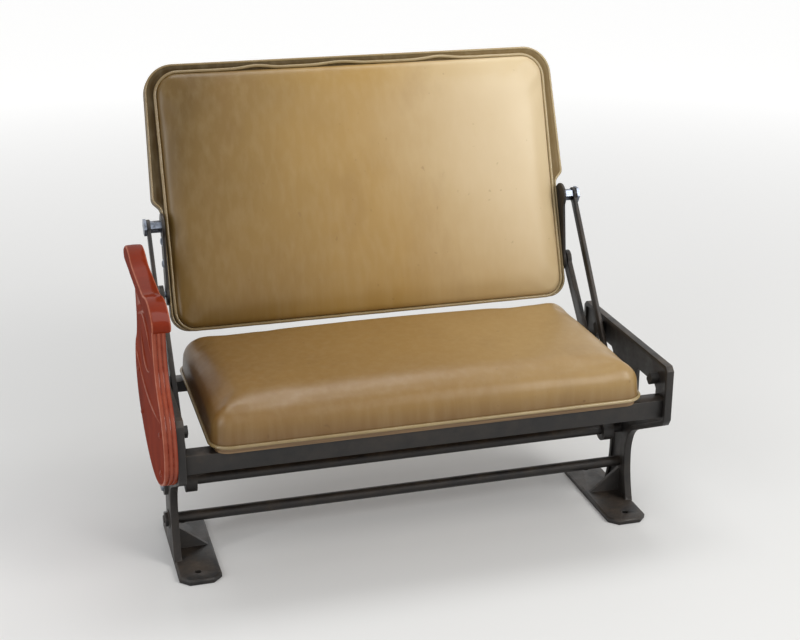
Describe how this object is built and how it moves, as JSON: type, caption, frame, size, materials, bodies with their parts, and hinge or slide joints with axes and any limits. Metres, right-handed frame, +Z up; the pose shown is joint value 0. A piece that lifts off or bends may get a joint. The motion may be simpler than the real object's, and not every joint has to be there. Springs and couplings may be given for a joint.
{
  "type": "reversible coach seat",
  "caption": "Double railway coach seat with a padded back that walks over to face either way, an ornamental aisle end with armrest, and floor pedestals.",
  "frame": {"origin": "on the floor, in the middle of the four floor bolts", "axes": "+X from the aisle to the wall, +Y towards the back as it stands, +Z up"},
  "size_m": [1.099, 0.7275, 0.975],
  "materials": {
    "red_paint": "gloss, worn at the arrises",
    "black_iron": "semi-gloss black",
    "tan_vinyl": "smooth, soft gloss",
    "edge_vinyl": "smooth, soft gloss",
    "bright_steel": "worn bright",
    "rubber": "matt",
    "plywood": "varnished"
  },
  "bodies": {
    "base": {"aisle_armrest": "red_paint", "aisle_end_plate": "red_paint", "aisle_frame": "black_iron", "aisle_link_stud": "bright_steel", "aisle_stops": "rubber", "front_rail": "black_iron", "rear_rail": "black_iron", "seat_cushion": "tan_vinyl", "seat_pan": "plywood", "stretcher_rod": "black_iron", "wall_frame": "black_iron", "wall_link_stud": "bright_steel", "wall_stops": "rubber"},
    "levers": {"aisle_lever": "black_iron", "cross_shaft": "bright_steel", "wall_lever": "black_iron"},
    "back": {"aisle_bracket": "black_iron", "aisle_lever_pin": "bright_steel", "aisle_link_pin": "bright_steel", "back_core": "edge_vinyl", "front_pad": "tan_vinyl", "rear_pad": "tan_vinyl", "wall_bracket": "black_iron", "wall_lever_pin": "bright_steel", "wall_link_pin": "bright_steel"},
    "aisle_link": {"aisle_guide_link": "black_iron"},
    "wall_link": {"wall_guide_link": "black_iron"}
  },
  "joints": [
    {"name": "lever_swing", "type": "hinge", "parent": "base", "child": "levers", "pos_m": [0, 0, 0.17], "axis": [1, 0, 0], "range_deg": [0, 82.16]},
    {"name": "back_tilt", "type": "hinge", "parent": "levers", "child": "back", "pos_m": [0, 0.28141, 0.49281], "axis": [1, 0, 0], "range_deg": [-42.17, 0]},
    {"name": "aisle_link_swing", "type": "hinge", "parent": "base", "child": "aisle_link", "pos_m": [-0.502, -0.01604, 0.20728], "axis": [1, 0, 0], "range_deg": [0, 75.93]},
    {"name": "wall_link_swing", "type": "hinge", "parent": "base", "child": "wall_link", "pos_m": [0.502, -0.01604, 0.20728], "axis": [1, 0, 0], "range_deg": [0, 75.93]}
  ],
  "couplings": [
    {"joint": "back_tilt", "follows": "lever_swing", "ratio": -0.51315},
    {"joint": "aisle_link_swing", "follows": "lever_swing", "ratio": 0.92402},
    {"joint": "wall_link_swing", "follows": "lever_swing", "ratio": 0.92402}
  ]
}
